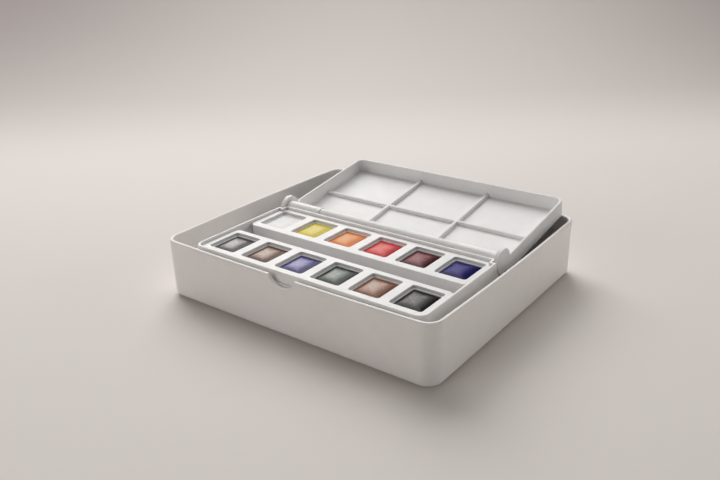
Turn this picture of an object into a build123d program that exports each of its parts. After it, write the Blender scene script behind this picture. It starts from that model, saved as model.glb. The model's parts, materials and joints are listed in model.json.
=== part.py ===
from build123d import *
import os
from math import asin, atan2, cos, degrees, hypot, radians, sin, sqrt, tan

# Watercolour paint box: an open storage case, a paint tray with two racks of half pans standing in
# it, and a palette lid that is folded open and rests on the back rim of the case.
# Millimetres, +Z up, +X to the right along the front, +Y to the back.
# The origin is the centre of the case's underside.

# Storage case
case_height = 31.5
case_wall = 1.8
case_floor = 2.0
case_corner_radius = 7.5
case_bottom_round = 3.0
case_inside_round = 1.0
case_rim_round = 0.7
front_bow = 1.2
side_bow = 1.4
bow_at_base = 0.05
thumb_notch_width = 16.0
thumb_notch_depth = 5.6

# Paint tray
tray_depth = 67.2
tray_height = 30.4
tray_wall = 1.25
tray_corner_radius = 5.0
tray_rim_round = 0.4
tray_left_bay = 18.1
tray_right_gap = 4.8
tray_front_gap = 0.4
deck_thickness = 1.4
rib_thickness = 1.2
rib_height = 8.0
rib_count = 3
foot_chamfer = 0.7
lip_width = 112.0
lip_height = 2.0
lip_below_rim = 5.4
lip_clearance = 0.3

# Half pans and paint
pan_width = 16.4
pan_depth = 19.6
pan_height = 9.0
pan_wall = 0.75
pan_floor = 1.1
pan_corner_radius = 1.5
pan_draft = 3.0
pan_rim_round = 0.2
paint_gap = 0.05
paint_edge_below_rim = 0.1
paint_crown = 1.1
pans_per_row = 6
pan_pitch = 21.85

# Pan racks
rack_recess = 1.5
pan_recess = 1.3
pan_clearance = 0.25
rack_clearance = 0.2
rack_front_margin = 4.3
rack_back_margin = 3.3
rack_end_margin = 3.225
rack_plate = 1.2
rack_skirt = 1.2
rack_floor = 0.95
cell_wall = 1.0
cell_round = 0.35

# Palette lid
lid_height = 9.2
lid_wall = 1.4
lid_floor = 1.2
lid_far_radius = 5.0
lid_near_radius = 2.0
lid_back_round = 1.2
inside_round_share = 0.9
lid_rim_round = 0.45
closing_gap = 0.15
rest_gap = 0.2
rim_landing = 1.6
divider_height = 2.1
divider_width = 1.9
divider_round = 0.6
well_split = 0.465

# Hinge
hinge_behind_tray = 3.0
hinge_drop = 0.8
knuckle_radius = 2.9
knuckle_length = 22.5
knuckle_web_top = 0.6
bar_radius = 2.6
bar_end_gap = 0.3
ear_radius = 6.3
ear_thickness = 2.4
ear_back = 0.4
ear_down = 1.1
ear_side_gap = 0.25
ear_swing_gap = 0.35
ear_round = 0.4
ear_notch_round = 0.65
post_wall = 1.0
pin_radius = 1.2
pin_length = 7.6
pin_running_gap = 0.05
pin_end_gap = 0.3
pin_socket_depth = 1.6
pin_chamfer = 0.25

# Sizes that follow
cell_width = pan_width + 2 * pan_clearance
cell_depth = pan_depth + 2 * pan_clearance
rack_width = (pans_per_row - 1) * pan_pitch + cell_width + 2 * rack_end_margin
rack_depth = rack_front_margin + cell_depth + rack_back_margin
rack_height = pan_recess + pan_height + rack_floor
rack_corner_radius = tray_corner_radius - tray_wall - rack_clearance
tray_width = rack_width + 2 * (rack_clearance + tray_wall)
case_width = 2 * case_wall + tray_left_bay + tray_width + tray_right_gap
tray_shift = (tray_left_bay - tray_right_gap) / 2
row_pitch = tray_depth - 2 * (tray_wall + rack_clearance) - rack_depth
lid_length = tray_depth + hinge_behind_tray
lid_seat = hinge_drop + closing_gap

# Heights
tray_top = case_floor + tray_height
rack_base = tray_top - rack_recess - rack_height
pan_base = rack_base + rack_floor
hinge_z = tray_top - hinge_drop

# The open lid lies on the inner edge of the case's back rim: this gives its angle and the case's depth
contact_run = lid_length - rim_landing
contact_drop = lid_seat + lid_height + rest_gap
contact_radius = hypot(contact_run, contact_drop)
rim_above_hinge = case_height - hinge_z
contact_reach = sqrt(contact_radius ** 2 - rim_above_hinge ** 2)
lid_angle = degrees(atan2(contact_drop, contact_run) + asin(rim_above_hinge / contact_radius))
closing_turn = 180 - lid_angle
case_depth = 2 * case_wall + tray_front_gap + lid_length + contact_reach - case_rim_round

# Places along Y
tray_front = -case_depth / 2 + case_wall + tray_front_gap
tray_back = tray_front + tray_depth
tray_middle = (tray_front + tray_back) / 2
hinge_y = tray_back + hinge_behind_tray
front_row_y = tray_front + tray_wall + rack_clearance + rack_front_margin + cell_depth / 2
rear_row_y = front_row_y + row_pitch

# Places along X, measured from the middle of the tray
ear_inside = tray_width / 2 - ear_thickness
knuckle_end = ear_inside - ear_side_gap


def column_of(index):
    """X of a pan in its row, from the middle of the tray."""
    return (index - (pans_per_row - 1) / 2) * pan_pitch


def edges_at(shape, height, tolerance=1e-3):
    """Edges that lie level at one height."""
    low = height - tolerance
    high = height + tolerance
    level = []
    for edge in shape.edges():
        box = edge.bounding_box()
        if low < box.min.Z and box.max.Z < high:
            level.append(edge)
    return level


def bowed_outline(width, depth, front, side, radius):
    """Rounded rectangle whose front and sides bulge outwards; the back is straight."""
    x = width / 2
    y = depth / 2
    sides = [
        ThreePointArc((-x, -y), (0, -y - front), (x, -y)),
        ThreePointArc((x, -y), (x + side, 0), (x, y)),
        Line((x, y), (-x, y)),
        ThreePointArc((-x, y), (-x - side, 0), (-x, -y)),
    ]
    face = make_face(sides)
    return fillet(face.vertices(), radius)


def bowed_block(width, depth, radius, low, high):
    """Block between two heights of the case, straight at the base and bowed at the rim."""
    base_share = low / case_height
    base_front = bow_at_base + front_bow * base_share
    base_side = bow_at_base + side_bow * base_share
    base = bowed_outline(width, depth, base_front, base_side, radius)
    top = bowed_outline(width, depth, bow_at_base + front_bow, bow_at_base + side_bow, radius)
    return loft([Pos(0, 0, low) * base, Pos(0, 0, high) * top], ruled=True)


def make_case():
    """Open case with soft edges and a half-round thumb notch in its front rim."""
    outside = bowed_block(case_width, case_depth, case_corner_radius, 0, case_height)
    outside = fillet(edges_at(outside, 0), case_bottom_round)
    inside_width = case_width - 2 * case_wall
    inside_depth = case_depth - 2 * case_wall
    inside_radius = case_corner_radius - case_wall
    inside = bowed_block(inside_width, inside_depth, inside_radius, case_floor, case_height)
    inside = fillet(edges_at(inside, case_floor), case_inside_round)
    shell = outside - inside
    shell = fillet(edges_at(shell, case_height), case_rim_round)
    half = thumb_notch_width / 2
    radius = (half ** 2 + thumb_notch_depth ** 2) / (2 * thumb_notch_depth)
    reach = 2 * (case_wall + front_bow)
    notch_centre = Pos(0, -case_depth / 2, case_height - thumb_notch_depth + radius)
    return shell - notch_centre * Rot(90, 0, 0) * Cylinder(radius, 2 * reach)


def ear_places():
    """Centre of the hinge ear from the hinge axis, open, half closed and closed, as (Y, Z)."""
    places = []
    for turn in (0, closing_turn / 2, closing_turn):
        angle = radians(lid_angle + turn)
        y = ear_back * cos(angle) + ear_down * sin(angle)
        z = ear_back * sin(angle) - ear_down * cos(angle)
        places.append((y, z))
    return places


def ear_sweep(grow, inside_x):
    """Room swept by both hinge ears, grown all round, from inside_x to just outside the tray."""
    length = tray_width / 2 + ear_side_gap - inside_x
    discs = []
    for side in (-1, 1):
        middle = side * (inside_x + length / 2)
        for y, z in ear_places():
            disc = Rot(0, 90, 0) * Cylinder(ear_radius + grow, length)
            discs.append(Pos(middle, hinge_y + y, hinge_z + z) * disc)
    room = discs[0]
    for disc in discs[1:]:
        room += disc
    return room


def hinge_posts(grow):
    """Blocks in the tray's back corners, behind the scoops for the ears, grown by a clearance."""
    inside_x = knuckle_end - post_wall - grow
    ear_front = hinge_y + min(y for y, z in ear_places()) - ear_radius
    front_y = ear_front - ear_swing_gap - post_wall - grow
    width = tray_width / 2 - tray_wall / 2 - inside_x
    depth = tray_back - tray_wall / 2 - front_y
    block = Box(width, depth, tray_top - rack_base)
    posts = []
    for side in (-1, 1):
        x = side * (inside_x + width / 2)
        posts.append(Pos(x, front_y + depth / 2, (rack_base + tray_top) / 2) * block)
    return posts[0] + posts[1]


def knuckle(inner_x, outer_x):
    """Hinge barrel with its web to the tray's back wall."""
    length = abs(outer_x - inner_x)
    middle = (inner_x + outer_x) / 2
    barrel = Pos(middle, hinge_y, hinge_z) * Rot(0, 90, 0) * Cylinder(knuckle_radius, length)
    web_height = knuckle_radius + knuckle_web_top
    web_depth = hinge_behind_tray + tray_wall / 2
    web_z = hinge_z + knuckle_web_top - web_height / 2
    web = Pos(middle, hinge_y - web_depth / 2, web_z) * Box(length, web_depth, web_height)
    return barrel + web


def make_tray():
    """Tray with a deck for the racks, a hollow ribbed underside, hinge barrels and a thumb lip."""
    outline = RectangleRounded(tray_width, tray_depth, tray_corner_radius)
    cavity_width = tray_width - 2 * tray_wall
    cavity_depth = tray_depth - 2 * tray_wall
    cavity = RectangleRounded(cavity_width, cavity_depth, tray_corner_radius - tray_wall)
    block = Pos(0, tray_middle, case_floor) * extrude(outline, tray_height)
    block = chamfer(edges_at(block, case_floor), foot_chamfer)
    upper = Pos(0, tray_middle, rack_base) * extrude(cavity, tray_top - rack_base)
    under_height = rack_base - deck_thickness - case_floor
    lower = Pos(0, tray_middle, case_floor) * extrude(cavity, under_height)
    tray = block - upper - lower
    tray = fillet(edges_at(tray, tray_top), tray_rim_round)
    tray = tray + hinge_posts(0) - ear_sweep(ear_swing_gap, knuckle_end)
    rib_z = case_floor + under_height - rib_height / 2
    for index in range(rib_count):
        x = (index + 1 - (rib_count + 1) / 2) * tray_width / (rib_count + 1)
        tray += Pos(x, tray_middle, rib_z) * Box(rib_thickness, tray_depth - tray_wall, rib_height)
    tray += Pos(0, tray_middle, rib_z) * Box(tray_width - tray_wall, rib_thickness, rib_height)
    tray += knuckle(-knuckle_end + knuckle_length, -knuckle_end)
    tray += knuckle(knuckle_end - knuckle_length, knuckle_end)
    bore_depth = pin_length - pin_socket_depth + pin_end_gap
    bore = Rot(0, 90, 0) * Cylinder(pin_radius + pin_running_gap, bore_depth)
    for side in (-1, 1):
        tray -= Pos(side * (knuckle_end - bore_depth / 2), hinge_y, hinge_z) * bore
    return tray + thumb_lip()


def thumb_lip():
    """Ledge along the tray's front, for a thumb in the notch; it follows the case's bowed wall."""
    z = tray_top - lip_below_rim - lip_height
    bow = bow_at_base + front_bow * z / case_height
    inset = 2 * (case_wall + lip_clearance)
    room = bowed_outline(case_width - inset, case_depth - inset, bow, bow, case_corner_radius - case_wall)
    band = Pos(-tray_shift, 0, z) * extrude(room, lip_height)
    depth = tray_front_gap + front_bow + tray_wall / 2
    reach = Box(lip_width, depth, lip_height)
    return band & Pos(0, tray_front + tray_wall / 2 - depth / 2, z + lip_height / 2) * reach


def make_rack(row_y, has_post_notches):
    """Moulded rack with six open cells; the underside is hollow round the cell pockets."""
    rack_y = row_y + (rack_back_margin - rack_front_margin) / 2
    outline = RectangleRounded(rack_width, rack_depth, rack_corner_radius)
    hollow_width = rack_width - 2 * rack_skirt
    hollow_depth = rack_depth - 2 * rack_skirt
    hollow = RectangleRounded(hollow_width, hollow_depth, rack_corner_radius - rack_skirt)
    rack = Pos(0, rack_y, rack_base) * extrude(outline, rack_height)
    rack = fillet(edges_at(rack, rack_base + rack_height), cell_round)
    rack -= Pos(0, rack_y, rack_base) * extrude(hollow, rack_height - rack_plate)
    pocket_width = cell_width + 2 * cell_wall
    pocket_depth = cell_depth + 2 * cell_wall
    pocket = RectangleRounded(pocket_width, pocket_depth, pan_corner_radius + cell_wall)
    cell = extrude(RectangleRounded(cell_width, cell_depth, pan_corner_radius), rack_height)
    for index in range(pans_per_row):
        place = Pos(column_of(index), row_y, rack_base)
        rack += place * extrude(pocket, rack_height - rack_plate / 2)
    for index in range(pans_per_row):
        rack -= Pos(column_of(index), row_y, pan_base) * cell
    if has_post_notches:
        rack -= hinge_posts(rack_clearance)
    return rack


def tub(width, depth, radius, height):
    """Block that narrows downwards, with its wide face at z = 0."""
    return extrude(RectangleRounded(width, depth, radius), -height, taper=pan_draft)


def make_pan():
    """Half pan with drafted walls, standing on z = 0."""
    outside = tub(pan_width, pan_depth, pan_corner_radius, pan_height)
    inside_width = pan_width - 2 * pan_wall
    inside_depth = pan_depth - 2 * pan_wall
    inside_radius = pan_corner_radius - pan_wall / 2
    inside = tub(inside_width, inside_depth, inside_radius, pan_height - pan_floor)
    pan = Pos(0, 0, pan_height) * (outside - inside)
    return fillet(edges_at(pan, pan_height), pan_rim_round)


def make_paint():
    """Paint block with a shallow domed top, filling a half pan that stands on z = 0."""
    depth_in_pan = pan_height - pan_floor
    inset = pan_wall + paint_gap
    radius = pan_corner_radius - pan_wall / 2
    block = tub(pan_width - 2 * inset, pan_depth - 2 * inset, radius, depth_in_pan)
    block = Pos(0, 0, pan_height) * block
    half_diagonal = hypot(pan_width / 2 - inset, pan_depth / 2 - inset)
    dome_radius = (half_diagonal ** 2 + paint_crown ** 2) / (2 * paint_crown)
    crown_z = pan_height - paint_edge_below_rim + paint_crown
    dome = Pos(0, 0, crown_z - dome_radius) * Sphere(dome_radius)
    return block & dome


def lid_plan(inset, near_radius, far_radius):
    """Plan of the lid or its hollow, from the hinge side to the far rim."""
    near = hinge_behind_tray + inset
    far = lid_length - inset
    plan = Pos(0, (near + far) / 2) * Rectangle(tray_width - 2 * inset, far - near)
    near_corners = plan.vertices().group_by(Axis.Y)[0]
    plan = fillet(near_corners, near_radius)
    far_corners = plan.vertices().group_by(Axis.Y)[-1]
    return fillet(far_corners, far_radius)


def ear():
    """Hinge ear: a disc on the lid's corner, blended into its side wall."""
    back = -lid_seat - lid_height
    disc = Pos(ear_back, -ear_down) * Circle(ear_radius)
    side_length = ear_back + ear_radius + 3 * ear_notch_round - hinge_behind_tray
    side_y = hinge_behind_tray + side_length / 2
    side = Pos(side_y, (-lid_seat + back) / 2) * Rectangle(side_length, lid_height)
    profile = disc + side
    notch = profile.vertices().sort_by_distance((ear_back + ear_radius, -lid_seat))[0]
    profile = fillet(notch, ear_notch_round)
    body = extrude(Plane.YZ * profile, ear_thickness)
    rims = body.edges().group_by(Axis.X)[-1].filter_by(GeomType.CIRCLE)
    return fillet([e for e in rims if e.radius > ear_radius - ear_round], ear_round)


def hinge_bar():
    """Bar on the lid between the tray's two barrels, with its web to the lid's back wall."""
    length = 2 * (knuckle_end - knuckle_length - bar_end_gap)
    bar = Rot(0, 90, 0) * Cylinder(bar_radius, length)
    reach = hinge_behind_tray + lid_wall / 2
    height = bar_radius + lid_seat
    return bar + Pos(0, reach / 2, -lid_seat - height / 2) * Box(length, reach, height)


def dividers():
    """Low ribs that part the lid's floor into six mixing wells."""
    floor_z = -lid_seat - lid_height + lid_floor
    inner_near = hinge_behind_tray + lid_wall
    inner_far = lid_length - lid_wall
    inner_width = tray_width - 2 * lid_wall
    cross_y = inner_near + well_split * (inner_far - inner_near)
    middle_z = floor_z + divider_height / 2
    ribs = Pos(0, cross_y, middle_z) * Box(inner_width, divider_width, divider_height)
    length = inner_far - inner_near
    rib = Box(divider_width, length, divider_height)
    for side in (-1, 1):
        ribs += Pos(side * inner_width / 6, inner_near + length / 2, middle_z) * rib
    return fillet(edges_at(ribs, floor_z + divider_height), divider_round)


def make_lid():
    """Palette lid in its own frame: hinge axis along X, rim up, far rim at +Y."""
    back = -lid_seat - lid_height
    outside = Pos(0, 0, back) * extrude(lid_plan(0, lid_near_radius, lid_far_radius), lid_height)
    outside = fillet(edges_at(outside, back), lid_back_round)
    near_radius = max(lid_near_radius - lid_wall, lid_wall / 2)
    hollow = lid_plan(lid_wall, near_radius, lid_far_radius - lid_wall)
    inside = Pos(0, 0, back + lid_floor) * extrude(hollow, lid_height - lid_floor)
    inside = fillet(edges_at(inside, back + lid_floor), inside_round_share * near_radius)
    lid = outside - inside
    lid = fillet(edges_at(lid, -lid_seat), lid_rim_round)
    right_ear = Pos(ear_inside, 0, 0) * ear()
    lid += right_ear
    lid += mirror(right_ear, Plane.YZ)
    lid += dividers()
    lid += hinge_bar()
    for side in (-1, 1):
        x = side * (ear_inside + pin_socket_depth / 2)
        lid -= Pos(x, 0, 0) * Rot(0, 90, 0) * Cylinder(pin_radius, pin_socket_depth)
    return lid


def make_pin(side):
    """Hinge pin, pressed into the ear and running in the tray's barrel."""
    pin = Cylinder(pin_radius, pin_length)
    pin = chamfer(pin.edges().filter_by(GeomType.CIRCLE), pin_chamfer)
    x = side * (ear_inside + pin_socket_depth - pin_length / 2)
    return Pos(x, hinge_y, hinge_z) * Rot(0, 90, 0) * pin


def build():
    """All nodes of the paint box by name."""
    in_case = Pos(tray_shift, 0, 0)
    nodes = {}
    nodes["case"] = make_case()
    nodes["paint_tray"] = in_case * make_tray()
    nodes["front_pan_rack"] = in_case * make_rack(front_row_y, False)
    nodes["rear_pan_rack"] = in_case * make_rack(rear_row_y, True)
    pan = make_pan()
    paint = make_paint()
    for row, row_y in (("front", front_row_y), ("rear", rear_row_y)):
        for index in range(pans_per_row):
            place = Pos(tray_shift + column_of(index), row_y, pan_base)
            nodes[f"{row}_pan_{index + 1}"] = place * pan
            nodes[f"{row}_paint_{index + 1}"] = place * paint
    nodes["palette_lid"] = Pos(tray_shift, hinge_y, hinge_z) * Rot(lid_angle, 0, 0) * make_lid()
    nodes["hinge_pin_left"] = in_case * make_pin(-1)
    nodes["hinge_pin_right"] = in_case * make_pin(1)
    return nodes


os.makedirs("parts", exist_ok=True)
for name, shape in build().items():
    export_step(shape, f"parts/{name}.step")
print("case", case_width, round(case_depth, 2), case_height)
print("tray", round(tray_width, 2), tray_depth)
print("hinge axis", tray_shift, round(hinge_y, 3), round(hinge_z, 3))
print("lid angle", round(lid_angle, 3))
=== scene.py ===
# %% [markdown]
# # A watercolour paint box
# This lesson dresses the CAD model of a paint box: a white plastic case, a paint tray with two racks of
# half pans, and a palette lid that folds back onto the case's rim.
# The CAD solids already have the right shapes, so the work here is the finish of the plastic, the twelve
# blocks of dried paint, and the light.
# Everything is in metres, and in the CAD model's own frame.

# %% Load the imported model
import json
import math

import bpy
import numpy as np
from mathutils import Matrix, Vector


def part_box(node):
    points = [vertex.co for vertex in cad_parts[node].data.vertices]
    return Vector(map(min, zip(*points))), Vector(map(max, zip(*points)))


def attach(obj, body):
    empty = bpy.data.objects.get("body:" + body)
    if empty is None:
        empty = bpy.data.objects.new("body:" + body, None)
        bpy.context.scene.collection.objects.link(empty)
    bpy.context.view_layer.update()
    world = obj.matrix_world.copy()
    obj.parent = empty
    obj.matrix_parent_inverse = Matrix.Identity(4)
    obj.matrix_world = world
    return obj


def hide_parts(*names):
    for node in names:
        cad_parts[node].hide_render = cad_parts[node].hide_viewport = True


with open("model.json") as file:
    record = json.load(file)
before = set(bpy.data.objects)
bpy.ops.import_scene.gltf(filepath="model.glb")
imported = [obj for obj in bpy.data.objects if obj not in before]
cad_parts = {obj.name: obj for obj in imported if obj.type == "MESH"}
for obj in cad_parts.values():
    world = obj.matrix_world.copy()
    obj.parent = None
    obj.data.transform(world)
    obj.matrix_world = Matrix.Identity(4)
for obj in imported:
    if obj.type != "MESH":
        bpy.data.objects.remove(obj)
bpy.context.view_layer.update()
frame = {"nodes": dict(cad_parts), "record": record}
nodes = frame["nodes"]
scene = bpy.context.scene

# %% [markdown]
# ## Camera
# The picture was taken from the front right, about 25 degrees above the table.
# The camera's place comes from matching known edges of the box to the picture, so it is written as plain
# numbers. Depth of field stays off, because the whole box has to be sharp.

# %% Set up the camera
camera_place = (0.2207, -0.3024, 0.1837)
camera_turn = (66.974, 1.322, 36.696)
camera_data = bpy.data.cameras.new("photo_camera")
camera_data.lens = 38.69
camera_data.sensor_width = 36.0
camera_data.clip_start = 0.01
camera = bpy.data.objects.new("photo_camera", camera_data)
camera.location = camera_place
camera.rotation_euler = [math.radians(angle) for angle in camera_turn]
scene.collection.objects.link(camera)
scene.camera = camera
scene.view_settings.view_transform = "Standard"
print("camera at", [round(value, 3) for value in camera.location])

# %% [markdown]
# ## Colours
# Colours are easier to think about as the 0 to 255 values seen on a screen, but shaders work in linear
# light. Typing linear values by hand would hide what they look like, so one helper converts them.


# %% A helper for colours
def linear(red, green, blue):
    """Linear colour from screen values: each value is undone by the screen's gamma curve."""
    values = np.array([red, green, blue]) / 255
    low = values / 12.92
    high = ((values + 0.055) / 1.055) ** 2.4
    return [*np.where(values <= 0.04045, low, high).tolist(), 1.0]


print("a screen grey of 128 is", round(linear(128, 128, 128)[0], 3), "in linear light")

# %% [markdown]
# ## Small helpers
# A material is a tree of nodes, and each node takes several lines to add, set and link. A few small
# helpers do that in one line each, so that the cells below read as the recipe of a finish.


# %% Helpers that add shader nodes
def add_node(tree, kind, inputs=(), **options):
    """Node of a kind, with options set, and inputs given as values or as sockets to link."""
    node = tree.nodes.new(kind)
    for name, value in options.items():
        setattr(node, name, value)
    for key, value in dict(inputs).items():
        if isinstance(value, bpy.types.NodeSocket):
            tree.links.new(value, node.inputs[key])
        else:
            node.inputs[key].default_value = value
    return node


def calculate(tree, operation, *values):
    """Output of a Math node that does one operation on up to three values."""
    return add_node(tree, "ShaderNodeMath", dict(enumerate(values)), operation=operation).outputs[0]


def weighted_sum(tree, *terms):
    """Sum of values, each times its own weight, given as pairs."""
    products = [calculate(tree, "MULTIPLY", value, weight) for value, weight in terms]
    total = products[0]
    for product in products[1:]:
        total = calculate(tree, "ADD", total, product)
    return total


def fade(tree, value, start, end, low=0.0, high=1.0):
    """Smooth step: low where value is at start, high where it is at end."""
    inputs = {"Value": value, "From Min": start, "From Max": end, "To Min": low, "To Max": high}
    node = add_node(tree, "ShaderNodeMapRange", inputs, interpolation_type="SMOOTHSTEP")
    return node.outputs["Result"]


def mix_colours(tree, share, first, second):
    """Mixed colour: first where share is 0, second where it is 1."""
    node = add_node(tree, "ShaderNodeMix", {0: share, 6: first, 7: second}, data_type="RGBA")
    return node.outputs[2]


def noise(tree, vector, scale, detail=2.0, roughness=0.5):
    """Value of a noise texture, about 0.5 on average."""
    inputs = {"Vector": vector, "Scale": scale, "Detail": detail, "Roughness": roughness}
    return add_node(tree, "ShaderNodeTexNoise", inputs).outputs[0]


def raise_surface(tree, height, strength=1.0):
    """Normal of a surface raised by a height in metres."""
    inputs = {"Height": height, "Strength": strength, "Distance": 1.0}
    return add_node(tree, "ShaderNodeBump", inputs).outputs["Normal"]


helpers = (add_node, calculate, weighted_sum, fade, mix_colours, noise, raise_surface)
print("helpers", [helper.__name__ for helper in helpers])

# %% [markdown]
# ## Shared effects
# Moulded plastic is never one flat colour. The melt flows and cools unevenly, so its tone drifts over
# centimetres, and the steel mould leaves a fine grain. Hands polish what they touch, and a table
# rubs what stands on it.
# These could be painted by hand or written out in every material. Each is a node group instead, made
# once, and every plastic in the box uses it with its own values.


# %% Start a node group with named sockets
def start_group(name, inputs, outputs):
    """Shader group with its input and output sockets; gives its tree and the sockets inside it."""
    tree = bpy.data.node_groups.new(name, "ShaderNodeTree")
    for socket, (kind, value) in inputs.items():
        made = tree.interface.new_socket(name=socket, in_out="INPUT", socket_type="NodeSocket" + kind)
        if value is not None:
            made.default_value = value
    for socket, kind in outputs.items():
        tree.interface.new_socket(name=socket, in_out="OUTPUT", socket_type="NodeSocket" + kind)
    entry = tree.nodes.new("NodeGroupInput")
    leave = tree.nodes.new("NodeGroupOutput")
    return tree, entry.outputs, leave.inputs


look_outputs = {"Color": "Color", "Roughness": "Float", "Normal": "Vector"}
print("a look gives", sorted(look_outputs))

# %% [markdown]
# ### The moulded skin
# A slow noise and a quicker one together set where the tone drifts. The same quick noise and the mould's
# grain set how rough the skin is. The grain and a slow wave raise it, the wave by about a tenth of a
# millimetre, since no moulded wall is quite flat.
# A noise's scale is about how many patches fit in a metre.

# %% The moulded skin: where its tone drifts
drift_scale = 18.0
cloud_scale = 140.0
skin, given, result = start_group(
    "moulded_skin",
    {
        "Vector": ("Vector", None),
        "Tone": ("Color", (0.8, 0.8, 0.8, 1.0)),
        "Drift tone": ("Color", (0.7, 0.7, 0.7, 1.0)),
        "Grain scale": ("Float", 1800.0),
        "Grain depth": ("Float", 0.00002),
        "Smooth": ("Float", 0.4),
        "Rough": ("Float", 0.55),
    },
    look_outputs,
)
drift = noise(skin, given["Vector"], drift_scale, detail=3.0)
cloud = noise(skin, given["Vector"], cloud_scale, detail=4.0, roughness=0.6)
share = fade(skin, weighted_sum(skin, (drift, 0.65), (cloud, 0.35)), 0.35, 0.68)
skin.links.new(mix_colours(skin, share, given["Tone"], given["Drift tone"]), result["Color"])
print("group", skin.name, "has", len(skin.nodes), "nodes so far")

# %% The moulded skin: its roughness and texture
wave_scale = 55.0
wave_depth = 0.00012
grain = noise(skin, given["Vector"], given["Grain scale"], detail=3.0, roughness=0.7)
wave = noise(skin, given["Vector"], wave_scale, detail=1.0)
inputs = {"Value": weighted_sum(skin, (cloud, 0.6), (grain, 0.4)), "From Min": 0.3, "From Max": 0.7}
inputs.update({"To Min": given["Smooth"], "To Max": given["Rough"]})
rough_map = add_node(skin, "ShaderNodeMapRange", inputs)
skin.links.new(rough_map.outputs["Result"], result["Roughness"])
height = weighted_sum(skin, (grain, given["Grain depth"]), (wave, wave_depth))
skin.links.new(raise_surface(skin, height, 0.6), result["Normal"])
print("group", skin.name, "has", len(skin.nodes), "nodes")

# %% [markdown]
# ### Scuffs
# Scuffs are short, thin and all run roughly one way, the way a box slides in and out of a bag. A noise
# texture that is squeezed along one direction gives such streaks, and a second, larger noise breaks
# them into patches. They are strongest near one height, such as a rim or the foot.

# %% Scuffs, strongest towards one height
streak_squeeze = (60.0, 90.0, 1600.0)
streak_turn = (0.06, 0.04, 0.0)
patch_scale = 30.0
scuff_everywhere = 0.35
scuffs, given, result = start_group(
    "scuffs",
    {
        "Vector": ("Vector", None),
        "Amount": ("Float", 0.5),
        "Worn height": ("Float", 0.0),
        "Spread": ("Float", 0.01),
    },
    {"Mask": "Float"},
)
inputs = {"Vector": given["Vector"], "Scale": streak_squeeze, "Rotation": streak_turn}
squeezed = add_node(scuffs, "ShaderNodeMapping", inputs).outputs[0]
streaks = fade(scuffs, noise(scuffs, squeezed, 1.0, detail=3.0, roughness=0.6), 0.60, 0.74)
patches = fade(scuffs, noise(scuffs, given["Vector"], patch_scale), 0.46, 0.62)
level = add_node(scuffs, "ShaderNodeSeparateXYZ", {"Vector": given["Vector"]}).outputs["Z"]
away = calculate(scuffs, "ABSOLUTE", calculate(scuffs, "SUBTRACT", level, given["Worn height"]))
near = calculate(scuffs, "SUBTRACT", 1.0, calculate(scuffs, "DIVIDE", away, given["Spread"]))
near = add_node(scuffs, "ShaderNodeClamp", {"Value": near}).outputs[0]
marks = calculate(scuffs, "MULTIPLY", calculate(scuffs, "MULTIPLY", streaks, patches), given["Amount"])
worn = weighted_sum(scuffs, (marks, scuff_everywhere), (marks, near))
scuffs.links.new(add_node(scuffs, "ShaderNodeClamp", {"Value": worn}).outputs[0], result["Mask"])
print("group", scuffs.name, "has", len(scuffs.nodes), "nodes")

# %% [markdown]
# ## White plastic
# The case, tray, racks, pans and lid are all moulded in the same off-white plastic. The pans and the
# racks are smoother than the case, because paint has to wipe off them.
# One function makes each of these plastics from the two groups, so they stay one family.


# %% A material from the two shared effects
def start_material(name):
    """New material with an empty tree, its Principled BSDF and its output."""
    material = bpy.data.materials.new(name)
    material.use_nodes = True
    tree = material.node_tree
    tree.nodes.clear()
    surface = tree.nodes.new("ShaderNodeBsdfPrincipled")
    output = tree.nodes.new("ShaderNodeOutputMaterial")
    tree.links.new(surface.outputs[0], output.inputs[0])
    return material, tree, surface


def use_group(tree, group, inputs):
    """Outputs of a shared effect, placed in a tree with its values."""
    return add_node(tree, "ShaderNodeGroup", inputs, node_tree=group).outputs


plastic_ior = 1.49
scuff_tone = 0.86
scuff_roughness = 0.15


def make_plastic(name, tone, drift_tone, grain, depth, smooth, rough, wear, worn_height, spread):
    """Moulded plastic: its skin, with scuffs that are a little darker and rougher."""
    material, tree, surface = start_material(name)
    place = tree.nodes.new("ShaderNodeTexCoord").outputs["Object"]
    values = {"Vector": place, "Tone": tone, "Drift tone": drift_tone, "Grain scale": grain}
    values.update({"Grain depth": depth, "Smooth": smooth, "Rough": rough})
    moulded = use_group(tree, skin, values)
    values = {"Vector": place, "Amount": wear, "Worn height": worn_height, "Spread": spread}
    rubbed = use_group(tree, scuffs, values)["Mask"]
    scuffed = [channel * scuff_tone for channel in tone[:3]] + [1.0]
    colour = mix_colours(tree, rubbed, moulded["Color"], scuffed)
    tree.links.new(colour, surface.inputs["Base Color"])
    rougher = calculate(tree, "MULTIPLY", rubbed, scuff_roughness)
    roughness = calculate(tree, "ADD", moulded["Roughness"], rougher)
    tree.links.new(roughness, surface.inputs["Roughness"])
    tree.links.new(moulded["Normal"], surface.inputs["Normal"])
    surface.inputs["IOR"].default_value = plastic_ior
    return material


print("a plastic uses", skin.name, "and", scuffs.name)

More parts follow.
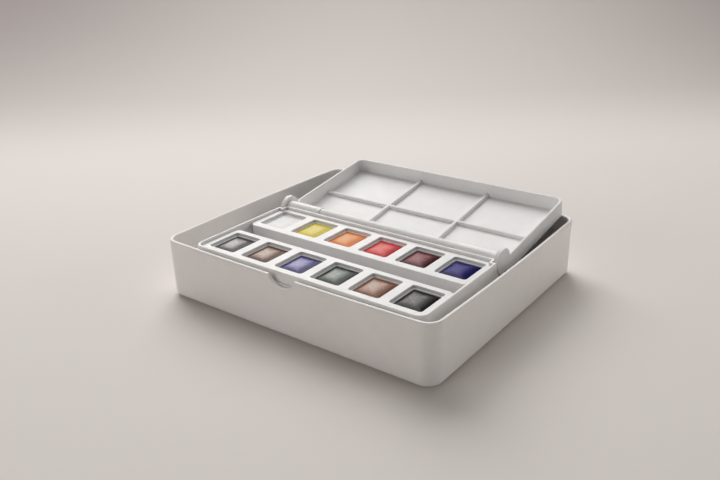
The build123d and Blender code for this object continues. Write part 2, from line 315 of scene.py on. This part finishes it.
# %% Make the five plastics
# Tone and drift tone, then grain scale and depth, least and most roughness, and for the scuffs their
# amount, the height where they are strongest, and how far they spread from it
# The tones differ a little though the plastic is the same: the pans are a shade lighter so their rims in
# the cells' shade read pale, and the racks and lid a shade darker where the lamps light them most. These
# differences are painted light and shade.
plastic_values = {
    "case_plastic": ((246, 242, 240), (241, 238, 235), 1500.0, 0.00003, 0.42, 0.60, 0.5, 0.001, 0.006),
    "tray_plastic": ((246, 244, 242), (241, 239, 237), 1700.0, 0.00002, 0.38, 0.55, 0.3, 0.032, 0.004),
    "rack_plastic": ((235, 234, 233), (230, 229, 228), 1900.0, 0.000015, 0.34, 0.50, 0.2, 0.031, 0.004),
    "pan_plastic": ((248, 247, 246), (244, 243, 242), 2200.0, 0.00001, 0.26, 0.40, 0.2, 0.030, 0.004),
    "lid_plastic": ((239, 238, 237), (234, 233, 232), 1800.0, 0.000015, 0.50, 0.64, 0.3, 0.030, 0.020),
}
plastics = {}
for name, (tone, drift_tone, *values) in plastic_values.items():
    plastics[name] = make_plastic(name, linear(*tone), linear(*drift_tone), *values)
print("plastics", sorted(plastics))

# %% [markdown]
# ## Hinge pins
# Each pin is a short piece of drawn steel wire. Drawing leaves fine lines along the wire, so the
# roughness and bump use a noise that is stretched along X, the way the pins lie.

# %% Make the steel
drawn_squeeze = (80.0, 4000.0, 4000.0)
line_depth = 0.00001
steel, tree, surface = start_material("pin_steel")
place = tree.nodes.new("ShaderNodeTexCoord").outputs["Object"]
drawn = add_node(tree, "ShaderNodeMapping", {"Vector": place, "Scale": drawn_squeeze}).outputs[0]
lines = noise(tree, drawn, 1.0, detail=3.0, roughness=0.6)
colour = mix_colours(tree, lines, linear(150, 150, 148), linear(190, 189, 186))
tree.links.new(colour, surface.inputs["Base Color"])
tree.links.new(fade(tree, lines, 0.3, 0.7, low=0.25, high=0.42), surface.inputs["Roughness"])
surface.inputs["Metallic"].default_value = 1.0
height = calculate(tree, "MULTIPLY", lines, line_depth)
tree.links.new(raise_surface(tree, height), surface.inputs["Normal"])
print("made", steel.name)

# %% [markdown]
# ## Dried paint
# Paint is poured into each pan and dries there. Drying pulls it into a low pillow: nearly flat on top,
# with rounded shoulders that drop to the pan's walls. A pale painted sheen, a painted reflection of the
# softbox, lies on the top a little to the left of the middle. Towards the shoulders the colour turns to
# the deep tone, most of all on the right: partly the paint's own colour and partly painted shade, where
# the shoulders turn away from the light. The painted sheen, the fine cracks and the uneven gloss are one
# shared group. It reads the block's own UV map, which runs from 0 to 1 across the pan, so the pattern
# follows each block.


# %% How far a place is from the painted sheen
def off_centre(tree, value, centre):
    """0 at a centre, and 1 at both ends of the range from 0 to 1."""
    below = calculate(tree, "DIVIDE", calculate(tree, "SUBTRACT", centre, value), centre)
    above = calculate(tree, "DIVIDE", calculate(tree, "SUBTRACT", value, centre), 1 - centre)
    return calculate(tree, "MAXIMUM", below, above)


# Centre, length and rounding of the painted sheen, a painted reflection of the softbox on the top
painted_sheen_centre = (0.30, 0.54)
painted_sheen_length = 0.85
painted_sheen_rounding = 0.15
edge_raggedness = 0.22
print("the bloom is centred at", painted_sheen_centre, "of the pan")

# %% The dried paint group: where each tone shows
dried, given, result = start_group(
    "dried_paint",
    {
        "Pan place": ("Vector", None),
        "Vector": ("Vector", None),
        "Deep": ("Color", (0.1, 0.1, 0.1, 1.0)),
        "Body": ("Color", (0.3, 0.3, 0.3, 1.0)),
        # The last tone and its amount make the painted sheen, a painted reflection of the softbox
        "Painted sheen": ("Color", (0.6, 0.6, 0.6, 1.0)),
        "Painted sheen amount": ("Float", 0.5),
    },
    look_outputs,
)
pan_place = add_node(dried, "ShaderNodeSeparateXYZ", {"Vector": given["Pan place"]}).outputs
# Distance from the painted sheen's centre: towards the shoulders the body turns to the deep tone, partly
# the paint's own colour and partly painted shade
across = off_centre(dried, pan_place["X"], painted_sheen_centre[0])
along = calculate(dried, "MULTIPLY", off_centre(dried, pan_place["Y"], painted_sheen_centre[1]), painted_sheen_length)
edge = calculate(dried, "SMOOTH_MAX", across, along, painted_sheen_rounding)
uneven = noise(dried, given["Vector"], 320.0, detail=4.0, roughness=0.6)
shift = calculate(dried, "MULTIPLY", calculate(dried, "SUBTRACT", uneven, 0.5), edge_raggedness)
ragged = calculate(dried, "ADD", edge, shift)
body = mix_colours(dried, fade(dried, ragged, 0.44, 0.70), given["Body"], given["Deep"])
# Painted sheen: a pale painted reflection of the softbox, strongest in the middle and broken by speckle
middle = fade(dried, ragged, 0.68, 0.16)
speckle = noise(dried, given["Vector"], 500.0, detail=3.0, roughness=0.6)
spots = fade(dried, speckle, 0.25, 0.60, low=0.55, high=1.0)
painted_sheen_share = calculate(dried, "MULTIPLY", middle, spots)
painted_sheen_share = calculate(dried, "MULTIPLY", painted_sheen_share, given["Painted sheen amount"])
dried.links.new(mix_colours(dried, painted_sheen_share, body, given["Painted sheen"]), result["Color"])
print("group", dried.name, "has", len(dried.nodes), "nodes so far")

# %% The dried paint group: its sheen, lumps and cracks
paint_smoothness = 0.18
lump_depth = 0.00010
crack_depth = 0.000008
fine_depth = 0.00001
dull = weighted_sum(dried, (painted_sheen_share, 0.10), (uneven, 0.16))
dried.links.new(calculate(dried, "ADD", dull, paint_smoothness), result["Roughness"])
inputs = {"Vector": given["Vector"], "Scale": 900.0}
cells = add_node(dried, "ShaderNodeTexVoronoi", inputs, feature="DISTANCE_TO_EDGE")
cracks = fade(dried, cells.outputs["Distance"], 0.0, 0.08)
fine = noise(dried, given["Vector"], 2600.0, detail=3.0, roughness=0.6)
height = weighted_sum(dried, (uneven, lump_depth), (fine, fine_depth), (cracks, crack_depth))
dried.links.new(raise_surface(dried, height, 0.7), result["Normal"])
print("group", dried.name, "has", len(dried.nodes), "nodes")

# %% [markdown]
# ## Twelve colours
# Every paint is the same stuff in another pigment, so one function makes them all from three tones: the
# deep tone of the shoulders, the body, and the pale tone of the painted sheen, a painted reflection of
# the softbox. The darkest paints get a little less of the painted sheen. Under so large a lamp glossy
# paint looks milky and loses its colour, so the specular level stays low.

# %% One paint from its three tones
paint_ior = 1.5


def make_paint(name, deep, body_tone, painted_sheen, amount, shine):
    """Dried watercolour paint in one colour."""
    material, tree, surface = start_material(name)
    coordinates = tree.nodes.new("ShaderNodeTexCoord").outputs
    values = {"Pan place": coordinates["UV"], "Vector": coordinates["Object"], "Deep": deep}
    # The pale tone and its amount make the painted sheen, a painted reflection of the softbox
    values.update({"Body": body_tone, "Painted sheen": painted_sheen, "Painted sheen amount": amount})
    look = use_group(tree, dried, values)
    for socket, target in (("Color", "Base Color"), ("Roughness", "Roughness"), ("Normal", "Normal")):
        tree.links.new(look[socket], surface.inputs[target])
    surface.inputs["IOR"].default_value = paint_ior
    surface.inputs["Specular IOR Level"].default_value = shine
    return material


print("a paint uses", dried.name)

# %% Make the twelve paints
# Deep, body and painted sheen tones, the painted sheen's amount and the specular level
paint_values = {
    "paint_grey_black": ((24, 22, 23), (88, 86, 87), (214, 211, 212), 0.95, 0.06),
    "paint_earth_brown": ((66, 34, 10), (132, 82, 44), (216, 202, 194), 0.95, 0.06),
    "paint_blue_violet": ((18, 12, 80), (70, 60, 156), (194, 189, 208), 0.9, 0.06),
    "paint_dark_green": ((10, 26, 12), (48, 78, 54), (186, 188, 184), 0.9, 0.06),
    "paint_light_brown": ((108, 62, 32), (154, 104, 68), (208, 192, 184), 0.85, 0.06),
    "paint_black": ((12, 11, 11), (32, 31, 30), (156, 153, 151), 0.8, 0.05),
    "paint_white": ((226, 225, 223), (234, 233, 232), (238, 238, 237), 0.6, 0.1),
    "paint_lemon_yellow": ((198, 176, 4), (222, 206, 56), (240, 226, 168), 0.8, 0.06),
    "paint_orange": ((204, 104, 4), (228, 136, 38), (236, 190, 154), 0.85, 0.06),
    "paint_red": ((180, 8, 6), (216, 24, 18), (234, 152, 148), 0.8, 0.05),
    "paint_maroon": ((62, 6, 12), (112, 18, 28), (174, 134, 137), 0.8, 0.04),
    "paint_deep_blue": ((16, 12, 76), (34, 28, 110), (110, 107, 154), 0.75, 0.03),
}
paints = {}
for name, (deep, body_tone, painted_sheen, amount, shine) in paint_values.items():
    paints[name] = make_paint(name, linear(*deep), linear(*body_tone), linear(*painted_sheen), amount, shine)
print("paints", len(paints))

# %% [markdown]
# ## The shape of a paint block
# A block is one closed surface, worked out as a grid. Going round it follows a rounded rectangle, and
# going across the grid starts at the middle of the top, runs out to the shoulder, down the wall, and
# back to the middle of the underside. It could be sculpted, but a formula gives twelve blocks at once.


# %% The outline of a block
def rounded_rectangle(half_x, half_y, radius, count):
    """Points round a rectangle with rounded corners, anticlockwise, evenly spaced in each corner."""
    turn = np.linspace(0, np.pi / 2, count // 4)
    angles = np.concatenate([turn + quarter * np.pi / 2 for quarter in range(4)])
    side_x = np.repeat([1, -1, -1, 1], len(turn))
    side_y = np.repeat([1, 1, -1, -1], len(turn))
    x = side_x * (half_x - radius) + radius * np.cos(angles)
    y = side_y * (half_y - radius) + radius * np.sin(angles)
    return x, y


def fill_sides(x, y, steps):
    """The same outline with its straight runs cut into equal steps."""
    closed_x = np.append(x, x[0])
    closed_y = np.append(y, y[0])
    length = np.concatenate([[0], np.cumsum(np.hypot(np.diff(closed_x), np.diff(closed_y)))])
    even = np.linspace(0, length[-1], steps, endpoint=False)
    marks = np.unique(np.concatenate([length[:-1], even]).round(7))
    return np.interp(marks, length, closed_x), np.interp(marks, length, closed_y)


corner_radius = 0.00110
corner_points = 32
outline_steps = 96
print("an outline has at least", outline_steps, "points")

# %% [markdown]
# The top's height is a pillow: the crown's height times the square root of one minus the fourth power
# of the distance from the middle, which stays flat and then falls steeply at the shoulder. A few slow
# waves, different for each pan, keep the blocks from looking cloned.

# %% The surface of a block
crown = 0.00118
edge_below_crown = 0.00096
shoulder_swell = 1.035
wall_taper = 0.057
wave_height = 0.00003
top_rings = np.linspace(0.0, 1.0, 24) ** 0.62
wall_rings = np.linspace(0.0, 1.0, 6)
foot_rings = np.array([0.96, 0.5])


def slow_waves(x, y, seed):
    """Crossed sine waves one to three centimetres long, shifted by a seed."""
    waves = np.sin(300 * x + 1.7 * seed) * np.cos(240 * y + 2.9 * seed)
    return waves + 0.3 * np.sin(420 * (x + y) + 0.9 * seed)


def paint_block(name, row, index):
    """Pillow-topped block with upright shoulders and a narrowed foot, in its pan."""
    low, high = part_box(f"{row}_paint_{index}")
    centre = (low + high) / 2
    half_x, half_y = (high.x - low.x) / 2, (high.y - low.y) / 2
    corners = rounded_rectangle(half_x, half_y, corner_radius, corner_points)
    x, y = fill_sides(*corners, outline_steps)
    shrink = 1 - wall_taper * wall_rings
    foot = foot_rings * shrink[-1]
    rings = np.concatenate([top_rings[1:] * shoulder_swell, shrink, foot])
    grid_x = rings[:, None] * x
    grid_y = rings[:, None] * y
    seed = index + (10 if row == "rear" else 0)
    inside = np.minimum(rings / shoulder_swell, 1.0)[:, None]
    edge = high.z - edge_below_crown
    pillow = np.sqrt(np.clip(1 - inside ** 4, 0, 1))
    heights = np.repeat(edge + crown * pillow, len(x), axis=1)
    heights += wave_height * slow_waves(grid_x, grid_y, seed) * (1 - inside ** 4)
    first_wall = len(top_rings) - 1
    drop = np.concatenate([wall_rings, np.ones(len(foot_rings))])
    heights[first_wall:] = (edge - (edge - low.z) * drop)[:, None]
    return block_mesh(name, grid_x, grid_y, heights, centre, half_x, half_y)


print("a block has", len(top_rings) - 1 + len(wall_rings) + len(foot_rings), "rings")

# %% [markdown]
# The grid becomes a mesh with four-sided faces between its rings, and a fan of triangles closes each
# pole. The UV map looks straight down on the block, because the bloom is laid out that way.


# %% From grid to closed mesh
def block_mesh(name, grid_x, grid_y, heights, centre, half_x, half_y):
    """Closed mesh from the grid, with a point at each pole, and a UV map that looks down on it."""
    rows, count = grid_x.shape
    grid = np.stack([grid_x, grid_y, heights], axis=-1).reshape(-1, 3)
    poles = np.array([[0, 0, heights[0].mean()], [0, 0, heights[-1].mean()]])
    points = np.concatenate([grid, poles])
    this = np.arange(count)
    after = (this + 1) % count
    start = (np.arange(rows - 1) * count)[:, None]
    corners = [start + this, start + count + this, start + count + after, start + after]
    quads = np.stack(corners, axis=-1).reshape(-1, 4)
    last = (rows - 1) * count
    top_fan = np.stack([np.full(count, rows * count), this, after], axis=-1)
    foot_fan = np.stack([np.full(count, rows * count + 1), last + after, last + this], axis=-1)
    faces = quads.tolist() + top_fan.tolist() + foot_fan.tolist()
    mesh = bpy.data.meshes.new(name)
    placed = points + np.array([centre.x, centre.y, 0])
    mesh.from_pydata(placed.tolist(), [], faces)
    mesh.polygons.foreach_set("use_smooth", np.ones(len(faces), bool))
    loop_points = np.zeros(len(mesh.loops), np.int32)
    mesh.loops.foreach_get("vertex_index", loop_points)
    flat = points[loop_points][:, :2] / (2 * np.array([half_x, half_y])) + 0.5
    mesh.uv_layers.new(name=uv_name).data.foreach_set("uv", flat.ravel())
    mesh.update()
    piece = bpy.data.objects.new(name, mesh)
    scene.collection.objects.link(piece)
    return piece


uv_name = "pan_place"
print("each block gets a UV map named", uv_name)

# %% [markdown]
# ## Twelve blocks
# The front row holds the earthy and dark colours, and the rear row the white and the bright ones.
# Each block takes the place of the plain CAD block in its pan, which is hidden, and hangs from an empty
# named after that pan.

# %% Put a block in every pan
colours = {
    "front": ["grey_black", "earth_brown", "blue_violet", "dark_green", "light_brown", "black"],
    "rear": ["white", "lemon_yellow", "orange", "red", "maroon", "deep_blue"],
}
for row, names in colours.items():
    for index, colour in enumerate(names, 1):
        piece = paint_block(f"{row}_{colour}_paint", row, index)
        piece.data.materials.append(paints["paint_" + colour])
        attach(piece, f"{row}_pan_{index}")
        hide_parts(f"{row}_paint_{index}")
print("paint blocks have", len(piece.data.polygons), "faces each")

# %% [markdown]
# ## Finish the CAD solids
# Every other piece keeps its CAD shape, and only takes its material. The record names the material of
# each piece, so a loop over the pieces finishes them all.

# %% Give each CAD solid its material
finishes = {entry["node"]: entry["material_slot"] for entry in frame["record"]["subparts"]}
for name, solid in nodes.items():
    finish = finishes[name]
    if finish.startswith("paint_"):
        continue
    solid.data.materials.clear()
    solid.data.materials.append(steel if finish == "pin_steel" else plastics[finish])
print("finished", sum(not slot.startswith("paint_") for slot in finishes.values()), "solids")

# %% [markdown]
# ## Table and backdrop
# The box stands on a pale, warm grey sweep: a sheet that lies flat under the box and curves up behind
# it, so there is no hard horizon. It is one surface, a profile carried along a straight line.


# %% Make the sweep
def make_sweep(width, front, back, radius, lean):
    """Flat sheet whose far edge curves up through an angle: profile points carried along X."""
    turn = np.linspace(0, np.radians(lean), 20)
    flat = np.linspace(front, back, 12)[:-1]
    y = np.concatenate([flat, back + radius * np.sin(turn)])
    z = np.concatenate([np.zeros(len(flat)), radius * (1 - np.cos(turn))])
    x = np.linspace(-width / 2, width / 2, 9)
    count = len(y)
    grid = np.stack([np.repeat(x, count), np.tile(y, len(x)), np.tile(z, len(x))], -1)
    column = np.arange(len(x) - 1)[:, None] * count
    step = np.arange(count - 1)
    corners = [column + step, column + count + step, column + count + step + 1, column + step + 1]
    faces = np.stack(corners, -1).reshape(-1, 4)
    mesh = bpy.data.meshes.new("sweep")
    mesh.from_pydata(grid.tolist(), [], faces.tolist())
    mesh.polygons.foreach_set("use_smooth", np.ones(len(mesh.polygons), bool))
    sheet = bpy.data.objects.new("sweep", mesh)
    scene.collection.objects.link(sheet)
    return sheet


sweep = make_sweep(width=9.0, front=-5.0, back=0.42, radius=0.5, lean=52.0)
sweep.rotation_euler.z = math.radians(36.7)
print("sweep", len(sweep.data.polygons), "faces")

# %% [markdown]
# The sweep's paper is painted a little darker where it rises and in its far corners: painted shade,
# where the lamps' light falls off. Towards its near and side edges the lamps no longer reach it, so the
# paper gets a painted glow there, which the camera sees, and which fades it into the pale studio behind.
# The Light Path node keeps that glow out of the light that falls on the box.


# %% Colour the sweep
def seen_directly(tree):
    """1 for what the camera sees, also in metal or glass, and 0 for the light that reaches the box."""
    path = tree.nodes.new("ShaderNodeLightPath").outputs
    shine = calculate(tree, "MAXIMUM", path["Is Glossy Ray"], path["Is Transmission Ray"])
    return calculate(tree, "MAXIMUM", path["Is Camera Ray"], shine)


warm_white = (1.0, 0.975, 0.96, 1.0)
edge_glow_strength = 0.33
paper_roughness = 0.8
paper, tree, surface = start_material("sweep_paper")
place = tree.nodes.new("ShaderNodeTexCoord").outputs["Object"]
spot = add_node(tree, "ShaderNodeSeparateXYZ", {"Vector": place}).outputs
# Painted shade: the paper darkens where the sweep rises and in its far corners, where the lamps' light
# falls off
rise = fade(tree, spot["Y"], 0.22, 0.48)
beside = calculate(tree, "ABSOLUTE", calculate(tree, "SUBTRACT", spot["X"], 0.10))
corners = calculate(tree, "MULTIPLY", fade(tree, spot["Y"], 0.10, 0.75), fade(tree, beside, 0.05, 0.60))
soft = mix_colours(tree, noise(tree, place, 6.0), linear(221, 215, 210), linear(224, 218, 213))
middle = mix_colours(tree, rise, soft, linear(194, 188, 184))
colour = mix_colours(tree, corners, middle, linear(156, 148, 145))
tree.links.new(colour, surface.inputs["Base Color"])
surface.inputs["Roughness"].default_value = paper_roughness
# Painted glow: the near and side edges of the paper emit a warm light that only what is seen directly
# shows
near_edge = fade(tree, spot["Y"], -0.5, -2.2)
side_edges = fade(tree, calculate(tree, "ABSOLUTE", spot["X"]), 1.3, 3.0)
edge_glow = calculate(tree, "MAXIMUM", near_edge, side_edges)
edge_glow = calculate(tree, "MULTIPLY", edge_glow, seen_directly(tree))
tree.links.new(calculate(tree, "MULTIPLY", edge_glow, edge_glow_strength), surface.inputs["Emission Strength"])
surface.inputs["Emission Color"].default_value = warm_white
sweep.data.materials.append(paper)
print("coloured the sweep with", paper.name)

# %% [markdown]
# ## Light
# One large soft lamp stands behind the box on the left, a softbox. It brightens every level surface
# and throws a soft shadow to the front right. A weaker lamp nearly overhead lights the inside of the
# bays and the lid. The front and right walls face away from both, so each has a weak fill lamp of its
# own, set wide of the box: one lamp at the corner would light the corner more than the walls.


# %% Set up the lamps
box_middle = Vector((0.0, 0.0, 0.02))


def add_lamp(name, place, size, power, colour):
    """Square area lamp at a place, turned to face the middle of the box."""
    data = bpy.data.lights.new(name, "AREA")
    data.shape = "SQUARE"
    data.size = size
    data.energy = power
    data.color = colour
    lamp = bpy.data.objects.new(name, data)
    lamp.location = place
    lamp.rotation_euler = (box_middle - Vector(place)).to_track_quat("-Z", "Y").to_euler()
    scene.collection.objects.link(lamp)
    return lamp


daylight = (1.0, 0.988, 0.975)
warm_fill = (1.0, 0.965, 0.95)
add_lamp("softbox", (-0.92, 0.70, 1.08), 1.2, 22.6, daylight)
add_lamp("top_light", (-0.10, 0.25, 1.50), 0.8, 4.3, daylight)
add_lamp("left_fill", (-0.60, -1.55, 0.40), 1.0, 6.9, warm_fill)
add_lamp("right_fill", (1.50, 0.70, 0.40), 1.0, 6.9, warm_fill)

# %% [markdown]
# The world is the studio's pale wall. It adds only a trace of even, warm light to the shade, and the
# camera sees it brighter than that, because a white wall far from the lamps still looks pale.

# %% Set up the world
world_light = 0.05
seen_extra = 0.30
world = bpy.data.worlds.new("studio")
world.use_nodes = True
studio = world.node_tree
wall = studio.nodes["Background"]
wall.inputs["Color"].default_value = warm_white
brightness = calculate(studio, "MULTIPLY_ADD", seen_directly(studio), seen_extra, world_light)
studio.links.new(brightness, wall.inputs["Strength"])
scene.world = world
print("world", world.name, "lights the shade at", world_light)
